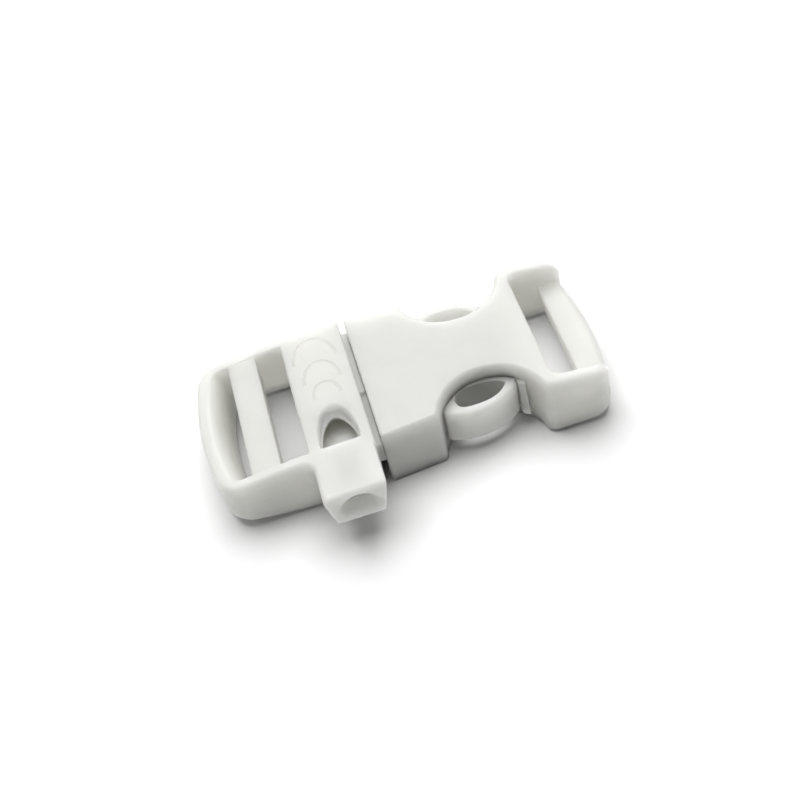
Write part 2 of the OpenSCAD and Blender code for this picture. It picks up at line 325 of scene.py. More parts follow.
# %% Loft the prong half
male_heights = heights(-half_t, half_t, [EDGE_RISE, LIP_RISE, SMALL_R], [BOTTOM_R])
male_heights += [-SEAM_RISE / 2, SEAM_RISE / 2, MOUTH_BOTTOM - MOUTH_STEP, MOUTH_BOTTOM]
male_heights += [MOUTH_BOTTOM + SMALL_R * share for share in (0.1, 0.3, 0.6, 1)]
male_heights = sorted(set(male_heights))
male = solid("prong_half", loft([lift(male_outline(z), z) for z in male_heights]))
print("prong half:", len(male_heights), "heights,", len(male.data.polygons), "faces")

# %% [markdown]
# ## Strap slots and crossbar
#
# One opening is cut for both slots, and the crossbar is put back between them, a quarter of a
# millimetre lower than the frame. The end bar slopes softly down on its inner side, where the
# strap bends over it. The crossbar keeps the crisp edges that hold the webbing.

# %% Opening of the frame
SLOT_HALF = 10.25
END_BAR_W = 4.1
END_BAR_EDGE = 2.8
END_BAR_RISE = 8.8
SLOT_EDGE_R = 0.25
SLOT_CORNER = 0.25
END_SLOT_CORNER = 1.1


def opening_outline(z):
    wide = rounding(z, -half_t, half_t, SLOT_EDGE_R, below=BOTTOM_R)
    bow = END_BOW_R - END_BAR_W
    bow += rounding(z, -half_t, half_t, END_BAR_EDGE, END_BAR_RISE, BOTTOM_R)
    side = SLOT_HALF + wide
    right = WHISTLE_X + wide
    turn = half_turn(side, bow)
    corner_x = end_bow_x - bow * math.cos(math.radians(turn))
    return outline([
        straight((right, side), (corner_x, side), 8, END_SLOT_CORNER),
        bowed((end_bow_x, 0), bow, 180 - turn, 180 + turn, 33, END_SLOT_CORNER),
        straight((corner_x, -side), (right, -side), 8, SLOT_CORNER),
        straight((right, -side), (right, side), 12, SLOT_CORNER),
    ])


opening_heights = heights(-half_t, half_t, [END_BAR_RISE, SLOT_EDGE_R], [BOTTOM_R], 7)
opening = solid("opening", loft([lift(opening_outline(z), z)
                                 for z in through(opening_heights, half_t)]))
combine(male, opening, "DIFFERENCE")

# %% Crossbar
CROSSBAR = (-17.35, -13.25)
CROSSBAR_SUNK = 0.25
CROSSBAR_Z = (-0.94, half_t - CROSSBAR_SUNK)
CROSSBAR_EDGE = 0.12
CROSSBAR_INTO = 0.6
CROSSBAR_HALF = SLOT_HALF + CROSSBAR_INTO
crossbar = block("crossbar", (CROSSBAR[0], -CROSSBAR_HALF, CROSSBAR_Z[0]),
                 (CROSSBAR[1], CROSSBAR_HALF, CROSSBAR_Z[1]), CROSSBAR_EDGE)
combine(male, crossbar, "UNION")

# %% [markdown]
# ## The whistle
#
# Air goes in under the mouthpiece's lip, through a flat windway, and meets the edge of a window
# in the top, over a closed chamber. The window is a D with its straight side to the mouthpiece.
# A scoop leads down to its curved side: steep near the top, and flatter towards the window,
# where a thin rim is left. The chamber and windway are plain blocks, since only shade is seen.

# %% Chamber and windway
WHISTLE_MID = -4.8
CEILING_Z = 3.8
WINDOW_Y = -10.35
CHAMBER_HALF = 2.7
CHAMBER_DEPTH = 2.1
CHAMBER_END_Y = -3.6
CHAMBER_EDGE = 0.3
WINDWAY_HALF = 1.6
WINDWAY_DROP = (1.3, 0.6)
WINDWAY_OVER = 0.5
WINDWAY_EDGE = 0.05
chamber = block("chamber", (WHISTLE_MID - CHAMBER_HALF, WINDOW_Y, CEILING_Z - CHAMBER_DEPTH),
                (WHISTLE_MID + CHAMBER_HALF, CHAMBER_END_Y, CEILING_Z), CHAMBER_EDGE)
combine(male, chamber, "DIFFERENCE")
windway = block(
    "windway",
    (WHISTLE_MID - WINDWAY_HALF, mouth_y - WINDWAY_OVER, CEILING_Z - WINDWAY_DROP[0]),
    (WHISTLE_MID + WINDWAY_HALF, WINDOW_Y + WINDWAY_OVER, CEILING_Z - WINDWAY_DROP[1]),
    WINDWAY_EDGE)
combine(male, windway, "DIFFERENCE")

# %% Window and scoop
WINDOW_HALF = 2.57
WINDOW_L = 5.15
WINDOW_CURVE = 1.7
WINDOW_OVER = 0.05
SCOOP_MID_Y = -9.0
SCOOP_HALF = 2.87
SCOOP_L = 5.9
SCOOP_START = -13.2
SCOOP_TURN = 206.4
SCOOP_POWER = 1.4
SCOOP_STEPS = 12
SCOOP_BACK = 0.12
SCOOP_FOOT = 1.5
RIM = 0.28
TOP_OVER = 0.004
CURVE_POINTS = 36
FLAT_POINTS = 10


def window_loop(share, z, back=0.0):
    """The window's outline at share 0, the scoop's at share 1; back moves the straight side"""
    loop = []
    for i in range(CURVE_POINTS + 1):
        t = math.pi * i / CURVE_POINTS
        pull = (abs(math.cos(t)) ** WINDOW_CURVE + math.sin(t) ** WINDOW_CURVE) ** (
            -1 / WINDOW_CURVE)
        x = WHISTLE_MID + WINDOW_HALF * pull * math.cos(t)
        y = WINDOW_Y - WINDOW_OVER + WINDOW_L * pull * math.sin(t)
        t = math.radians(SCOOP_START) + t * SCOOP_TURN / 180
        far_x = WHISTLE_MID + SCOOP_HALF * math.cos(t)
        far_y = SCOOP_MID_Y + SCOOP_L * math.sin(t)
        loop.append((x + (far_x - x) * share, y + (far_y - y) * share, z))
    first, last = loop[-1], loop[0]
    for k in range(1, FLAT_POINTS):
        s = k / FLAT_POINTS
        loop.append((first[0] + (last[0] - first[0]) * s, first[1] - back, z))
    return loop


scoop_loops = [window_loop(0, CEILING_Z - SCOOP_FOOT), window_loop(0, CEILING_Z + RIM)]
for i in range(1, SCOOP_STEPS + 1):
    share = i / SCOOP_STEPS
    steep = 0.5 - 0.5 * math.cos(math.pi * share ** SCOOP_POWER)
    height = CEILING_Z + RIM + (half_t + TOP_OVER - CEILING_Z - RIM) * steep
    scoop_loops.append(window_loop(share, height, SCOOP_BACK * share ** 3))
scoop_loops.append(window_loop(1, half_t + OVER, SCOOP_BACK))
combine(male, solid("scoop", loft(scoop_loops)), "DIFFERENCE")

# %% [markdown]
# ## Engraved arches and the mouthpiece's end
#
# Three arches, one in front of the other, are engraved over the whistle. Each is half an
# ellipse, and its groove is round: a ring of points is carried along the arch, and the tube
# that this makes is cut away. The mouthpiece's end is hollowed like a spoon, with an arch for
# its upper edge. The hollow is deepest under the lip, where it hides the windway, and runs out
# at the lower edge.

# %% Arches: the middle and the foot of each, its half width and its rise
ARCHES = [(-5.0, 5.4, 3.08, 4.1), (-4.78, 1.2, 2.6, 3.75), (-4.72, -1.7, 1.92, 2.6)]
GROOVE_W = 0.5
GROOVE_D = 0.15
GROOVE_R = (GROOVE_W ** 2 / 4 + GROOVE_D ** 2) / (2 * GROOVE_D)
GROOVE_POINTS = 14
ARCH_STEP = 6
for number, (mid, foot, half, rise) in enumerate(ARCHES, 1):
    rings = []
    for along in range(0, 181, ARCH_STEP):
        turn = math.radians(along)
        x, y = mid + half * math.cos(turn), foot + rise * math.sin(turn)
        out = math.atan2(half * math.sin(turn), rise * math.cos(turn))
        ring = []
        for k in range(GROOVE_POINTS):
            round_it = 2 * math.pi * k / GROOVE_POINTS
            reach = GROOVE_R * math.cos(round_it)
            ring.append((x + reach * math.cos(out), y + reach * math.sin(out),
                         half_t + GROOVE_R - GROOVE_D + GROOVE_R * math.sin(round_it)))
        rings.append(ring)
    combine(male, solid("arch_%d" % number, loft(rings)), "DIFFERENCE")

# %% Hollow of the mouthpiece's end
HOLLOW_MID = (-4.75, 0.5)
HOLLOW_HALF = (3.4, 4.0)
HOLLOW_D = 1.25
HOLLOW_EDGE = 0.16
HOLLOW_WALL = 0.38
HOLLOW_PROUD = 0.06
HOLLOW_FOOT = 0.25
HOLLOW_OVER = 1.5
HOLLOW_POINTS = 64
HOLLOW_SPREADS = (1, 0.96, 0.92, 0.88, 0.83, 0.78, 0.72, 0.66, 0.6, 0.5, 0.35, 0.18, 0.02)
RUN_OUT = 2.4
RUN_OUT_POWER = 0.8


def hollow_point(turn, spread):
    """A point of the hollow's surface: spread is 1 at its edge and 0 at its middle"""
    x = HOLLOW_MID[0] + HOLLOW_HALF[0] * spread * math.cos(turn)
    z = HOLLOW_MID[1] + HOLLOW_HALF[1] * spread * math.sin(turn)
    inwards = min(max((1 - spread) / HOLLOW_WALL, 0), 1)
    smooth = inwards * inwards * (3 - 2 * inwards)
    deep = HOLLOW_D * (HOLLOW_EDGE + (1 - HOLLOW_EDGE) * smooth)
    up = min(max((z - MOUTH_BOTTOM - HOLLOW_FOOT) / RUN_OUT, 0), 1)
    share = math.sin(math.pi / 2 * up) ** RUN_OUT_POWER
    return x, mouth_y - HOLLOW_PROUD + (deep + HOLLOW_PROUD) * share, z


hollow_loops = [[hollow_point(2 * math.pi * k / HOLLOW_POINTS, spread)
                 for k in range(HOLLOW_POINTS)] for spread in HOLLOW_SPREADS]
hollow_loops.insert(0, [(x, mouth_y - HOLLOW_OVER, z) for x, y, z in hollow_loops[0]])
combine(male, solid("hollow", loft(hollow_loops)), "DIFFERENCE")

# %% [markdown]
# ## Prongs and push rings
#
# Two springy prongs run from the frame into the socket, and each ends in a ring that the fingers
# press. A ring is round on its outer side, where the finger rests. Its hole is a closed smooth
# curve through a few points: round at the front, pointed at the rear. A block joins the
# prongs at their roots, and a guide between them keeps the halves in line. A shoulder with a
# small step in it fills most of the joint, so that no daylight shows through it but at its
# ends.

# %% Outline of a push ring at one height, on the +y side
PRONG_Z = 2.65
PRONG_Y = 8.9
PRONG_T = 2.0
RING = (9.64, 20.4)
RING_BOW = ((13.84, 1.25), 9.5)
RING_EDGE_R = 1.0
RING_SMALL_R = 0.2
RING_CORNERS = (0.9, 0.35, 0.6)
RING_INNER = 4.6


def ring_outline(z):
    out = rounding(z, -PRONG_Z, PRONG_Z, RING_EDGE_R, below=RING_SMALL_R)
    small = rounding(z, -PRONG_Z, PRONG_Z, RING_SMALL_R)
    (cx, cy), r = RING_BOW
    r -= out
    front, rear = RING[0] + small, RING[1] - small
    a, b = math.degrees(math.acos((front - cx) / r)), math.degrees(math.acos((rear - cx) / r))
    front_y, rear_y = cy + r * math.sin(math.radians(a)), cy + r * math.sin(math.radians(b))
    inner = RING_INNER + small
    return outline([
        straight((rear, inner), (rear, rear_y), 5, RING_CORNERS[0]),
        bowed((cx, cy), r, b, a, 31, RING_CORNERS[1]),
        straight((front, front_y), (front, inner), 5, RING_CORNERS[2]),
        straight((front, inner), (rear, inner), 12, RING_CORNERS[2]),
    ], 7)


# %% Hole of a push ring
HOLE = [(11.62, 7.4), (11.75, 8.45), (12.35, 9.05), (13.4, 9.22), (14.9, 9.2), (16.38, 8.95),
        (17.6, 8.4), (18.45, 7.65), (18.85, 7.12), (18.72, 6.82), (18.0, 6.35), (17.0, 5.98),
        (15.8, 5.8), (14.56, 5.86), (13.25, 6.12), (12.2, 6.62)]


def smooth_loop(points, between=4):
    """A closed curve through points, with more points between them"""
    loop = []
    count = len(points)
    for i in range(count):
        p = [Vector(points[(i + k) % count]) for k in (-1, 0, 1, 2)]
        for k in range(between):
            t = k / between
            loop.append(0.5 * (2 * p[1] + (p[2] - p[0]) * t
                               + (2 * p[0] - 5 * p[1] + 4 * p[2] - p[3]) * t * t
                               + (3 * p[1] - p[0] - 3 * p[2] + p[3]) * t ** 3))
    return loop


def grown(loop, step):
    """A clockwise loop with each point moved outwards"""
    moved = []
    for i, p in enumerate(loop):
        along = (loop[(i + 1) % len(loop)] - loop[i - 1]).normalized()
        moved.append((p.x - along.y * step, p.y + along.x * step))
    return moved


HOLE_EDGE_R = 0.15
hole_curve = smooth_loop(HOLE)
print("hole drawn through %d points, with %d in all" % (len(HOLE), len(hole_curve)))

# %% [markdown]
# A piece that is joined on reaches a little into what carries it. No two faces that meet lie
# in one plane, because the exact union leaves slivers there. So the prongs, the root block and
# the guide differ in height by a few hundredths of a millimetre.

# %% Build both rings with their prongs
PRONG_BACK = 0.8
PRONG_INTO_RING = 1.2
PRONG_EDGE = 0.3
STAGGER = 0.02
ring_heights = heights(-PRONG_Z, PRONG_Z, [RING_SMALL_R, RING_EDGE_R], [RING_SMALL_R], 6)
hole_heights = heights(-PRONG_Z, PRONG_Z, [HOLE_EDGE_R], [HOLE_EDGE_R])
for side, name in ((1, "far"), (-1, "near")):
    ring = solid(name + "_ring", loft([lift(ring_outline(z), z) for z in ring_heights]))
    loops = []
    for z in through(hole_heights, PRONG_Z):
        wide = rounding(z, -PRONG_Z, PRONG_Z, HOLE_EDGE_R)
        loops.append(lift(grown(hole_curve, wide), z))
    combine(ring, solid("hole", loft(loops)), "DIFFERENCE")
    arm = block("prong", (face_x - PRONG_BACK, PRONG_Y - PRONG_T, STAGGER - PRONG_Z),
                (RING[0] + PRONG_INTO_RING, PRONG_Y, PRONG_Z - STAGGER), PRONG_EDGE)
    combine(ring, arm, "UNION")
    bm = bmesh.new()
    bm.from_mesh(ring.data)
    if side < 0:
        bmesh.ops.scale(bm, vec=(1, -1, 1), verts=bm.verts)
        bmesh.ops.reverse_faces(bm, faces=bm.faces)
    bm.to_mesh(ring.data)
    bm.free()
    combine(male, ring, "UNION")

# %% Root block
ROOT_BACK = 0.7
ROOT_END = 2.35
ROOT_INSET = 0.05
INNER_EDGE = 0.2
root = block("root", (face_x - ROOT_BACK, -PRONG_Y + ROOT_INSET, 2 * STAGGER - PRONG_Z),
             (ROOT_END, PRONG_Y - ROOT_INSET, PRONG_Z - 2 * STAGGER), INNER_EDGE)
combine(male, root, "UNION")

# %% Shoulder in the joint, with its step
SHOULDER = (-11.6, 9.7)
SHOULDER_STEP = (-2.2, 3.3, 3.8)
SHOULDER_H = 3.5
SHOULDER_AIR = 0.05
SHOULDER_BACK = 0.6
SHOULDER_OVERLAP = 0.3
SHOULDER_EDGE = 0.1
step_y, near_z, far_z = SHOULDER_STEP
near_shoulder = block(
    "near_shoulder", (face_x - SHOULDER_BACK, SHOULDER[0], near_z - SHOULDER_H),
    (socket_x - SHOULDER_AIR, step_y + SHOULDER_OVERLAP, near_z), SHOULDER_EDGE)
combine(male, near_shoulder, "UNION")
far_shoulder = block(
    "far_shoulder", (face_x - SHOULDER_BACK + STAGGER, step_y, far_z - SHOULDER_H - STAGGER),
    (socket_x - SHOULDER_AIR - STAGGER, SHOULDER[1], far_z), SHOULDER_EDGE)
combine(male, far_shoulder, "UNION")

# %% Guide
GUIDE_BACK = 0.6
GUIDE_END = 12.45
GUIDE_HALF = 1.3
guide = block("guide", (face_x - GUIDE_BACK, -GUIDE_HALF, -PRONG_Z),
              (GUIDE_END, GUIDE_HALF, PRONG_Z), INNER_EDGE)
combine(male, guide, "UNION")

# %% [markdown]
# ## Squeezing the arch into the top
#
# Now the flat frame gets its arch, in its underside as in its top. Planes across the buckle cut
# it into strips first, because a long flat face has no points to bend. Then every point's height
# is scaled by how high the arch is at that place along the buckle.

# %% A function that cuts into strips and squeezes
def squeeze(piece, low, high, step, top_share, bottom_share):
    """Cuts a piece into strips along x, and scales the height of each point by its place"""
    bm = bmesh.new()
    bm.from_mesh(piece.data)
    count = round((high - low) / step)
    for i in range(count + 1):
        bmesh.ops.bisect_plane(bm, geom=bm.verts[:] + bm.edges[:] + bm.faces[:], dist=WELD,
                               plane_co=(low + (high - low) * i / count, 0, 0),
                               plane_no=(1, 0, 0))
    for vert in bm.verts:
        vert.co.z *= top_share(vert.co.x) if vert.co.z > 0 else bottom_share(vert.co.x)
    open_edges = sum(1 for e in bm.edges if len(e.link_faces) != 2)
    bm.to_mesh(piece.data)
    bm.free()
    print("  %s squeezed: %d faces, %d open edges"
          % (piece.name, len(piece.data.polygons), open_edges))


# %% Squeeze the prong half: its top and underside are arcs from the joint to the end
BELLY_R = 120.0
MALE_STRIP = 1.0
MALE_STRIPS = (end_x + 0.4, face_x - 0.3)


def belly_share(x):
    """Share of the full height at x"""
    reach = min(x, 0)
    return (half_t - BELLY_R + math.sqrt(BELLY_R ** 2 - reach ** 2)) / half_t


squeeze(male, *MALE_STRIPS, MALE_STRIP, belly_share, belly_share)

# %% [markdown]
# ## The socket half
#
# It is a flat box with two side windows for the push rings, and ends in two arms with a sunk bar
# between them for the strap. The box tapers a little from its mouth. It is lofted from one
# outline that holds the bites of the side windows, then its cavity and the opening between
# the arms are cut. The arms are squeezed like the frame: their top falls towards their ends,
# and their underside is a little higher than that of the box.

# %% Sizes of the socket half
MOUTH_HALF = 11.95
SOCKET_EDGE_R = 0.75
SOCKET_EDGE_RISE = 2.4
TAPER = math.radians(5.36)
MOUTH_CORNERS = (0.5, 0.45)
BITE = ((15.85, 12.8), 7.4)
BITE_EDGE_R = 0.75
BITE_EDGE_RISE = 1.4
BITE_CORNER = 1.3
ARM_EDGE_R = 1.2
ARM_EDGE_RISE = 1.9
TAIL_BOW_R = 48.0
TAIL_NOSE = 1.2
TAIL_NOSE_RISE = 1.9
TAIL_UNDER_R = 1.0
TAIL_CORNER = 1.8
tail_bow_x = tail_x - TAIL_BOW_R
print("socket %.1f mm wide at its mouth, %.1f at its tail" % (2 * MOUTH_HALF, 2 * half_w))


# %% Outline of the socket half at one height
def half_female(z):
    """Points on the +y side, from the mouth to the tail"""
    side = MOUTH_HALF + seam(z) - rounding(
        z, -half_t, half_t, SOCKET_EDGE_R, SOCKET_EDGE_RISE, BOTTOM_R)
    arm = half_w - rounding(z, -half_t, half_t, ARM_EDGE_R, ARM_EDGE_RISE, BOTTOM_R) + seam(z)
    face = socket_x + rounding(z, -half_t, half_t, SMALL_R)
    (cx, cy), r = BITE
    r += rounding(z, -half_t, half_t, BITE_EDGE_R, BITE_EDGE_RISE, BOTTOM_R)
    bow = TAIL_BOW_R - rounding(z, -half_t, half_t, TAIL_NOSE, TAIL_NOSE_RISE, TAIL_UNDER_R)
    # Where the tapered side meets the bite: a line and a circle
    slope = -math.tan(TAPER)
    level = side - slope * socket_x
    a = 1 + slope * slope
    b = 2 * (slope * (level - cy) - cx)
    c = cx * cx + (level - cy) ** 2 - r * r
    meet_x = (-b - math.sqrt(b * b - 4 * a * c)) / (2 * a)
    meet = (meet_x, level + slope * meet_x)
    leave = (cx + math.sqrt(r * r - (arm - cy) ** 2), arm)
    end = (tail_bow_x + math.sqrt(bow * bow - arm * arm), arm)
    start_turn = math.degrees(math.atan2(meet[1] - cy, meet[0] - cx)) % 360
    end_turn = math.degrees(math.atan2(leave[1] - cy, leave[0] - cx)) % 360
    turn = half_turn(arm, bow)
    tip = (tail_bow_x + bow, 0)
    sides = [
        straight((face, 0), (face, level + slope * face), 10, MOUTH_CORNERS[0]),
        straight((face, level + slope * face), meet, 8, MOUTH_CORNERS[1]),
        bowed((cx, cy), r, start_turn, end_turn, 49, BITE_CORNER),
        straight(leave, end, 10, TAIL_CORNER),
        bowed((tail_bow_x, 0), bow, turn, 0, 16, 0),
        straight(tip, (face, 0), 2, 0),
    ]
    return outline(sides, 8)[:-1]


# %% Mirror the outline and loft the socket half
def female_outline(z):
    points = half_female(z)
    return points + [(x, -y) for x, y in reversed(points[1:-1])]


female_heights = heights(-half_t, half_t,
                         [SOCKET_EDGE_RISE, TAIL_NOSE_RISE, BITE_EDGE_RISE, SMALL_R],
                         [TAIL_UNDER_R, BOTTOM_R])
female_heights = sorted(set(female_heights + [-SEAM_RISE / 2, SEAM_RISE / 2]))
female = solid("socket_half", loft([lift(female_outline(z), z) for z in female_heights]))
print("socket half:", len(female_heights), "heights,", len(female.data.polygons), "faces")

# %% Opening between the arms: their inner walls lean, and the far one is rounder at the top
SLOT_X = 24.75
SLOT_SOFT = 1.7
ARM_INNER_R = (0.75, 0.12)
ARM_DRAFT = 0.8
OPEN_END = 3
OPEN_CORNER = 0.3


def arm_opening_outline(z):
    wide = rounding(z, -half_t, half_t, SLOT_EDGE_R, below=BOTTOM_R)
    draft = ARM_DRAFT * (half_t - max(z, -half_t)) / (2 * half_t) if z < half_t else 0
    far = SLOT_HALF + rounding(z, -half_t, half_t, ARM_INNER_R[0], below=BOTTOM_R) - draft
    near = -SLOT_HALF - rounding(z, -half_t, half_t, ARM_INNER_R[1], below=BOTTOM_R) + draft
    left, right = SLOT_X - wide, tail_x + OPEN_END
    return outline([
        straight((right, far), (left, far), 12, SLOT_SOFT),
        straight((left, far), (left, near), 16, SLOT_SOFT),
        straight((left, near), (right, near), 12, OPEN_CORNER),
        straight((right, near), (right, far), 3, OPEN_CORNER),
    ], 8)


arm_heights = heights(-half_t, half_t, [*ARM_INNER_R, SLOT_EDGE_R], [BOTTOM_R])
arm_opening = solid("arm_opening", loft([lift(arm_opening_outline(z), z)
                                         for z in through(arm_heights, half_t)]))
combine(female, arm_opening, "DIFFERENCE")

# %% Cavity for the prongs
CAVITY_Z = 2.67
CAVITY_Y = 9.1
CAVITY_X = 20.45
cavity = block("cavity", (socket_x - OVER, -CAVITY_Y, -CAVITY_Z),
               (CAVITY_X, CAVITY_Y, CAVITY_Z), INNER_EDGE)
combine(female, cavity, "DIFFERENCE")

# %% Stops behind the push rings, which lean outwards towards their feet
STOP = [(20.44, 7.9), (21.3, 8.45), (21.7, 7.3), (20.44, 5.6)]
STOP_LEAN = 1.2
STOP_EDGE = 0.15
for side, name in ((1, "far_stop"), (-1, "near_stop")):
    corners = [(x, y * side) for x, y in STOP]
    loops = []
    for z in heights(-PRONG_Z, PRONG_Z, [STOP_EDGE], [STOP_EDGE], 3):
        shrink = 1 - rounding(z, -PRONG_Z, PRONG_Z, STOP_EDGE) / 2
        mid = [sum(c[i] for c in corners) / 4 for i in (0, 1)]
        lean = STOP_LEAN * (PRONG_Z - z) / (2 * PRONG_Z) * side
        near = [(mid[0] + (x - mid[0]) * shrink, mid[1] + (y - mid[1]) * shrink + lean)
                for x, y in corners]
        loops.append(lift(outline([straight(near[i], near[(i + 1) % 4], 2, STOP_EDGE)
                                   for i in range(4)], 4), z))
    combine(female, solid(name, loft(loops)), "UNION")

# %% [markdown]
# ## Strap bar
#
# The bar between the arms lies lower than they do, so that the strap's loop stays within the
# buckle's height. Its outer side follows the bow of the arms' ends, and a fillet joins its top
# to each arm, a large one at the near arm. Only then are the arms and the bar squeezed, by a
# share read from a table. The order matters, because a union after the strips are cut leaves
# open edges.

# %% Strap bar
BAR_X = 29.05
BAR_Z = (-2.88, 1.06)
BAR_EDGE_R = 0.3
BAR_UNDER_R = 1.4
BAR_NOSE_R = 1.3
BAR_SIDE = SLOT_HALF + 1.0
BAR_CORNER = 0.1


def bar_outline(z):
    left = BAR_X + rounding(z, *BAR_Z, BAR_EDGE_R, below=BAR_UNDER_R)
    bow = TAIL_BOW_R - rounding(z, *BAR_Z, BAR_NOSE_R)
    turn = half_turn(BAR_SIDE, bow)
    right = tail_bow_x + bow * math.cos(math.radians(turn))
    return outline([
        straight((right, BAR_SIDE), (left, BAR_SIDE), 4, BAR_CORNER),
        straight((left, BAR_SIDE), (left, -BAR_SIDE), 16, BAR_CORNER),
        straight((left, -BAR_SIDE), (right, -BAR_SIDE), 4, BAR_CORNER),
        bowed((tail_bow_x, 0), bow, -turn, turn, 25, BAR_CORNER),
    ])


bar_heights = heights(*BAR_Z, [BAR_EDGE_R, BAR_NOSE_R], [BAR_UNDER_R, BAR_NOSE_R], 6)
bar = solid("bar", loft([lift(bar_outline(z), z) for z in bar_heights]))
combine(female, bar, "UNION")

# %% Fillets between the bar and the arms: side, name and radius
BAR_FILLETS = ((1, "far_fillet", 0.9), (-1, "near_fillet", 2.4))
FILLET_X = (BAR_X + 0.25, 31.6)
FILLET_INTO = 0.3
FILLET_STEPS = 12
for side, name, reach in BAR_FILLETS:
    corner = Vector((SLOT_HALF - reach, BAR_Z[1] + reach))
    wall_y, foot_z = SLOT_HALF + FILLET_INTO, BAR_Z[1] - FILLET_INTO
    profile = [(wall_y, foot_z), (wall_y, corner.y)]
    for i in range(FILLET_STEPS + 1):
        turn = math.radians(90 * i / FILLET_STEPS)
        profile.append((corner.x + reach * math.cos(turn), corner.y - reach * math.sin(turn)))
    profile.append((corner.x, foot_z))
    loops = [[(x, y * side, z) for y, z in profile] for x in FILLET_X]
    combine(female, solid(name, loft(loops)), "UNION")

# %% Squeeze the arms towards their ends: tables of place and share of the full height
FEMALE_STRIP = 0.4
ARM_TOP = [(24.75, 1.0), (27, 0.965), (29, 0.92), (30.5, 0.875), (32, 0.83), (34, 0.79)]
ARM_UNDER = [(19.0, 1.0), (20.5, 0.98), (22.5, 0.92), (24.5, 0.88), (27.5, 0.865), (30, 0.845),
             (34, 0.82)]
FEMALE_STRIPS = (ARM_UNDER[0][0], tail_x - 0.2)


def read_off(table, x):
    """The value at x in a table, on straight lines between its entries"""
    if x <= table[0][0]:
        return table[0][1]
    for (x1, s1), (x2, s2) in zip(table, table[1:]):
        if x <= x2:
            return s1 + (s2 - s1) * (x - x1) / (x2 - x1)
    return table[-1][1]


squeeze(female, *FEMALE_STRIPS, FEMALE_STRIP,
        lambda x: read_off(ARM_TOP, x), lambda x: read_off(ARM_UNDER, x))

# %% [markdown]
# ## White acetal
#
# Both mouldings are polyoxymethylene, called POM or acetal: the springy white plastic of most
# side release buckles. It is milky, so light enters it and softens the shade under its edges.
# Its mould was fine blasted, which gives a satin surface: a soft broad gloss and, close by, a
# grain of about a twentieth of a millimetre. A second grain, eight times as coarse, varies the
# gloss. A broad and weak pattern in the colour stands for the flow of the plastic in the mould.

# %% A function for colours and one for nodes
def linear(code):
    """An sRGB hex colour as linear values"""
    parts = [int(code[i:i + 2], 16) / 255 for i in (1, 3, 5)]
    return [c / 12.92 if c <= 0.04045 else ((c + 0.055) / 1.055) ** 2.4 for c in parts] + [1]


def add(tree, kind, settings, links):
    """A node with its settings, and its inputs linked to other nodes' outputs"""
    node = tree.nodes.new(kind)
    for name, value in settings.items():
        if name in node.inputs:
            node.inputs[name].default_value = value
        else:
            setattr(node, name, value)
    for name, source in links.items():
        tree.links.new(source, node.inputs[name])
    return node


# %% Moulded acetal, with its sizes in millimetres
GRAIN = 0.05
COARSE = 8 * GRAIN
FLOW = 6.0
GRAIN_DEPTH = 0.02
COARSE_DEPTH = 0.05
LIGHT_REACH = 8.0
ACETAL_COLOURS = ("#CECEC9", "#D1D1CC")
PATTERN_RANGE = (0.3, 0.7)
ACETAL_ROUGHNESS = (0.40, 0.50)
ACETAL_IOR = 1.48


def moulded_acetal(name, seed):
    material = bpy.data.materials.new(name)
    material.use_nodes = True
    tree = material.node_tree
    surface = tree.nodes["Principled BSDF"]
    place = add(tree, "ShaderNodeTexCoord", {}, {}).outputs["Object"]
    shifted = add(tree, "ShaderNodeMapping", {"Location": (seed * 0.1, 0, 0)},
                  {"Vector": place}).outputs["Vector"]
    # The grain is too fine to show in the render, so spots of 0.4 mm are drawn as well
    flow = add(tree, "ShaderNodeTexNoise", {"Scale": 1 / (FLOW * MM), "Detail": 3.0,
                                            "Roughness": 0.55, "Distortion": 0.6},
               {"Vector": shifted}).outputs["Fac"]
    grain = add(tree, "ShaderNodeTexNoise", {"Scale": 1 / (GRAIN * MM), "Detail": 4.0,
                                             "Roughness": 0.6},
                {"Vector": shifted}).outputs["Fac"]
    coarse = add(tree, "ShaderNodeTexNoise", {"Scale": 1 / (COARSE * MM), "Detail": 3.0,
                                              "Roughness": 0.6},
                 {"Vector": shifted}).outputs["Fac"]
    tint = add(tree, "ShaderNodeValToRGB", {}, {"Fac": flow})
    stops = tint.color_ramp.elements
    for stop, position, colour in zip(stops, PATTERN_RANGE, ACETAL_COLOURS):
        stop.position = position
        stop.color = linear(colour)
    tree.links.new(tint.outputs["Color"], surface.inputs["Base Color"])
    gloss = add(tree, "ShaderNodeMapRange",
                {"From Min": PATTERN_RANGE[0], "From Max": PATTERN_RANGE[1],
                 "To Min": ACETAL_ROUGHNESS[0], "To Max": ACETAL_ROUGHNESS[1]},
                {"Value": coarse})
    tree.links.new(gloss.outputs["Result"], surface.inputs["Roughness"])
    bump = add(tree, "ShaderNodeBump", {"Strength": 0.25, "Distance": GRAIN_DEPTH * MM},
               {"Height": grain})
    waves = add(tree, "ShaderNodeBump", {"Strength": 0.3, "Distance": COARSE_DEPTH * MM},
                {"Height": coarse, "Normal": bump.outputs["Normal"]})
    tree.links.new(waves.outputs["Normal"], surface.inputs["Normal"])
    surface.inputs["IOR"].default_value = ACETAL_IOR
    surface.inputs["Subsurface Weight"].default_value = 1.0
    surface.inputs["Subsurface Radius"].default_value = (1.0, 0.99, 0.97)
    surface.inputs["Subsurface Scale"].default_value = LIGHT_REACH * MM
    print("  %s: %d nodes" % (name, len(tree.nodes)))
    return material


# %% [markdown]
# ## Finishing both pieces
#
# Each piece is moved from the millimetre drawing to its place on the frame. Faces are smooth
# shaded, apart from edges that turn by more than 40 degrees, and the normals are weighted by
# area, so that a flat side looks flat up to its rounded edge.

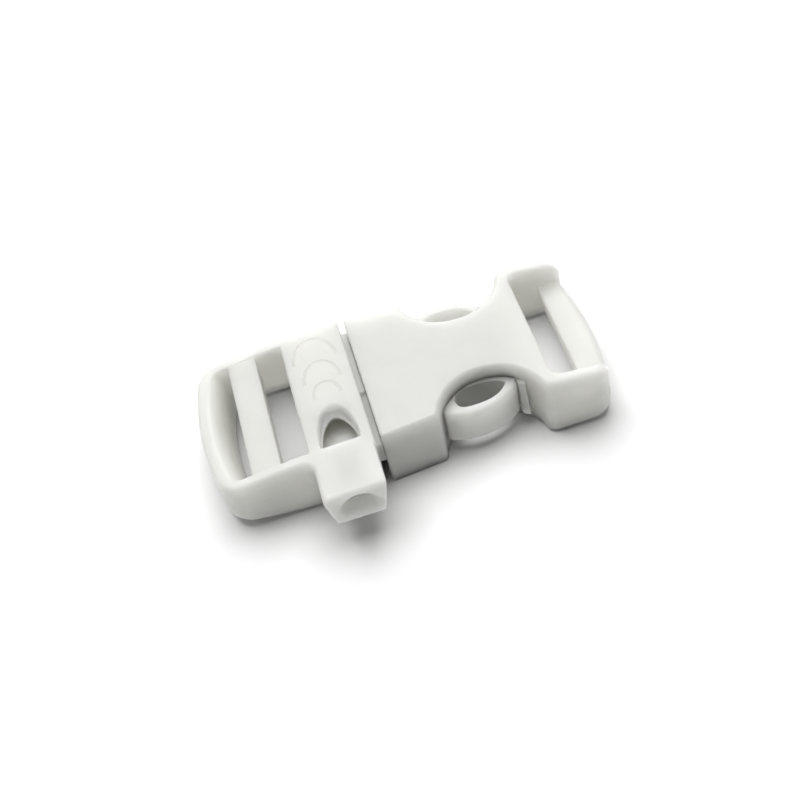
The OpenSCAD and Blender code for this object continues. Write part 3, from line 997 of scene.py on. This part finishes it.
# %% Put the pieces in place
SHARP_ANGLE = math.radians(40)
TO_ROW = Matrix.Translation(joint) @ Matrix.Scale(MM, 4)
for piece, node, seed in ((male, "male_half", 1), (female, "female_half", 4)):
    bm = bmesh.new()
    bm.from_mesh(piece.data)
    bmesh.ops.remove_doubles(bm, verts=bm.verts, dist=WELD)
    bmesh.ops.dissolve_degenerate(bm, edges=bm.edges, dist=WELD)
    bmesh.ops.triangulate(bm, faces=[f for f in bm.faces if len(f.verts) > 4])
    bmesh.ops.recalc_face_normals(bm, faces=bm.faces)
    loose = [v for v in bm.verts if not v.link_faces]
    bmesh.ops.delete(bm, geom=loose, context="VERTS")
    open_edges = sum(1 for e in bm.edges if len(e.link_faces) != 2)
    volume = bm.calc_volume()
    bm.to_mesh(piece.data)
    bm.free()
    piece.data.transform(TO_ROW)
    piece.data.shade_smooth()
    piece.data.set_sharp_from_angle(angle=SHARP_ANGLE)
    even = piece.modifiers.new("even_normals", "WEIGHTED_NORMAL")
    even.keep_sharp = True
    piece.data.materials.clear()
    piece.data.materials.append(moulded_acetal(piece.name + "_acetal", seed))
    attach(piece, "root")
    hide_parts(node)
    triangles = sum(len(f.vertices) - 2 for f in piece.data.polygons)
    print("%s: %d triangles, %d open edges, %.0f cubic mm"
          % (piece.name, triangles, open_edges, volume))

# %% [markdown]
# ## Floor, light and camera
#
# The photograph is a product shot on white paper. One large soft light hangs over the buckle and
# a little behind it, and two weak ones stand at the left and the right. The near sides get
# hardly more than what the paper gives back. The camera looks down at the buckle from the
# front, and is turned about its own axis.

# %% Floor
FLOOR_HALF = 0.6
bm = bmesh.new()
bmesh.ops.create_grid(bm, x_segments=1, y_segments=1, size=FLOOR_HALF)
floor = solid("floor", bm)
paper = bpy.data.materials.new("white_paper")
paper.use_nodes = True
paper_surface = paper.node_tree.nodes["Principled BSDF"]
paper_surface.inputs["Base Color"].default_value = linear("#F0F0F0")
paper_surface.inputs["Roughness"].default_value = 0.9
paper_surface.inputs["Specular IOR Level"].default_value = 0.2
floor.data.materials.append(paper)
print("floor %.1f m wide" % (2 * FLOOR_HALF))

# %% Lights
WORLD_STRENGTH = 0.13
scene = bpy.context.scene
scene.view_settings.view_transform = "Standard"
world = bpy.data.worlds.new("studio")
world.use_nodes = True
sky = world.node_tree.nodes["Background"]
sky.inputs["Color"].default_value = (1, 1, 1, 1)
sky.inputs["Strength"].default_value = WORLD_STRENGTH
scene.world = world


def soft_light(name, place, size, power):
    """A round light that faces the origin: its place and size in metres, its power in watts"""
    data = bpy.data.lights.new(name, "AREA")
    data.shape = "DISK"
    data.size = size
    data.energy = power
    light = bpy.data.objects.new(name, data)
    scene.collection.objects.link(light)
    aim = Vector(place).to_track_quat("Z", "Y").to_matrix().to_4x4()
    light.matrix_world = Matrix.Translation(place) @ aim
    print("%s: %.2f m wide, %.2f W, %.2f m away" % (name, size, power, Vector(place).length))


soft_light("soft_box", (0.01, 0.26, 0.63), 0.80, 6.9)
soft_light("left_panel", (-0.40, 0.12, 0.55), 0.45, 0.45)
soft_light("right_panel", (0.60, 0.20, 0.24), 0.45, 0.5)

# %% Camera: its place in millimetres, and its turns in degrees
CAMERA_PLACE = (-7.822, -114.307, 138.45)
CAMERA_TURNS = ((-3.63, "Z"), (40.92, "X"), (-14.46, "Z"))
FOCAL = 56.957
SENSOR = 36
lens = bpy.data.cameras.new("camera")
lens.lens = FOCAL
lens.sensor_width = SENSOR
lens.clip_start = 0.01
camera = bpy.data.objects.new("camera", lens)
scene.collection.objects.link(camera)
heading, pitch, roll = (Matrix.Rotation(math.radians(turn), 4, axis)
                        for turn, axis in CAMERA_TURNS)
aim = heading @ pitch @ roll
camera.matrix_world = Matrix.Translation(Vector(CAMERA_PLACE) * MM) @ aim
scene.camera = camera
print("camera %.0f mm from the origin" % Vector(CAMERA_PLACE).length)
